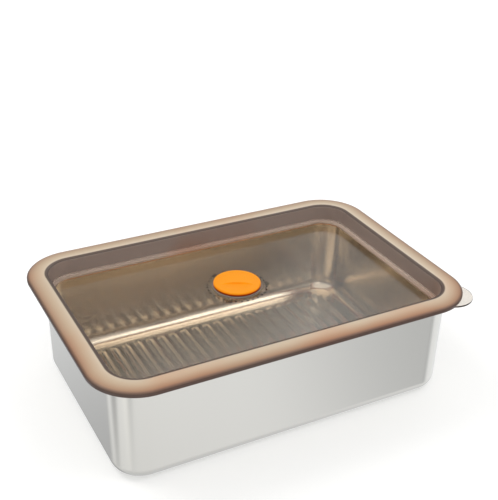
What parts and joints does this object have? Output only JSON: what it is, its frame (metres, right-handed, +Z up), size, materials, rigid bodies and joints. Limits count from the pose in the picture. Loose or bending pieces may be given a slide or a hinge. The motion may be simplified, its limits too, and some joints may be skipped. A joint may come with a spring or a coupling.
{
  "type": "dough proofing container",
  "caption": "Rectangular steel proofing pan with a ribbed floor, and a lift-off clear lid with a tinted frame, silicone seal, corner tab and turning day dial.",
  "frame": {"origin": "middle of the pan's underside, on the surface it stands on", "axes": "+X along the long side, +Y towards the back long side, +Z up; the lift tab is at +X, -Y"},
  "size_m": [0.3248, 0.2218, 0.0943],
  "materials": {
    "pan_steel": "satin",
    "tinted_plastic": "satin translucent",
    "clear_panel": "clear gloss",
    "orange_silicone": "matte silicone",
    "clear_tab": "clear gloss",
    "tinted_ring": "gloss translucent",
    "orange_knob": "satin",
    "pale_silicone": "matte silicone",
    "orange_nut": "satin"
  },
  "bodies": {
    "pan_body": {"pan": "pan_steel"},
    "lid": {"lid_frame": "tinted_plastic", "lid_panel": "clear_panel", "seal_gasket": "orange_silicone", "lift_tab": "clear_tab", "dial_base": "tinted_ring", "dial_seal": "pale_silicone"},
    "dial": {"dial_knob": "orange_knob", "dial_nut": "orange_nut"}
  },
  "joints": [
    {"name": "lid_lift", "type": "slide", "parent": "pan_body", "child": "lid", "axis": [0, 0, 1], "range_m": [0, 0.13]},
    {"name": "dial_turn", "type": "hinge", "parent": "lid", "child": "dial", "pos_m": [0, 0.012, 0.0797], "axis": [0, 0, 1], "continuous": true}
  ]
}
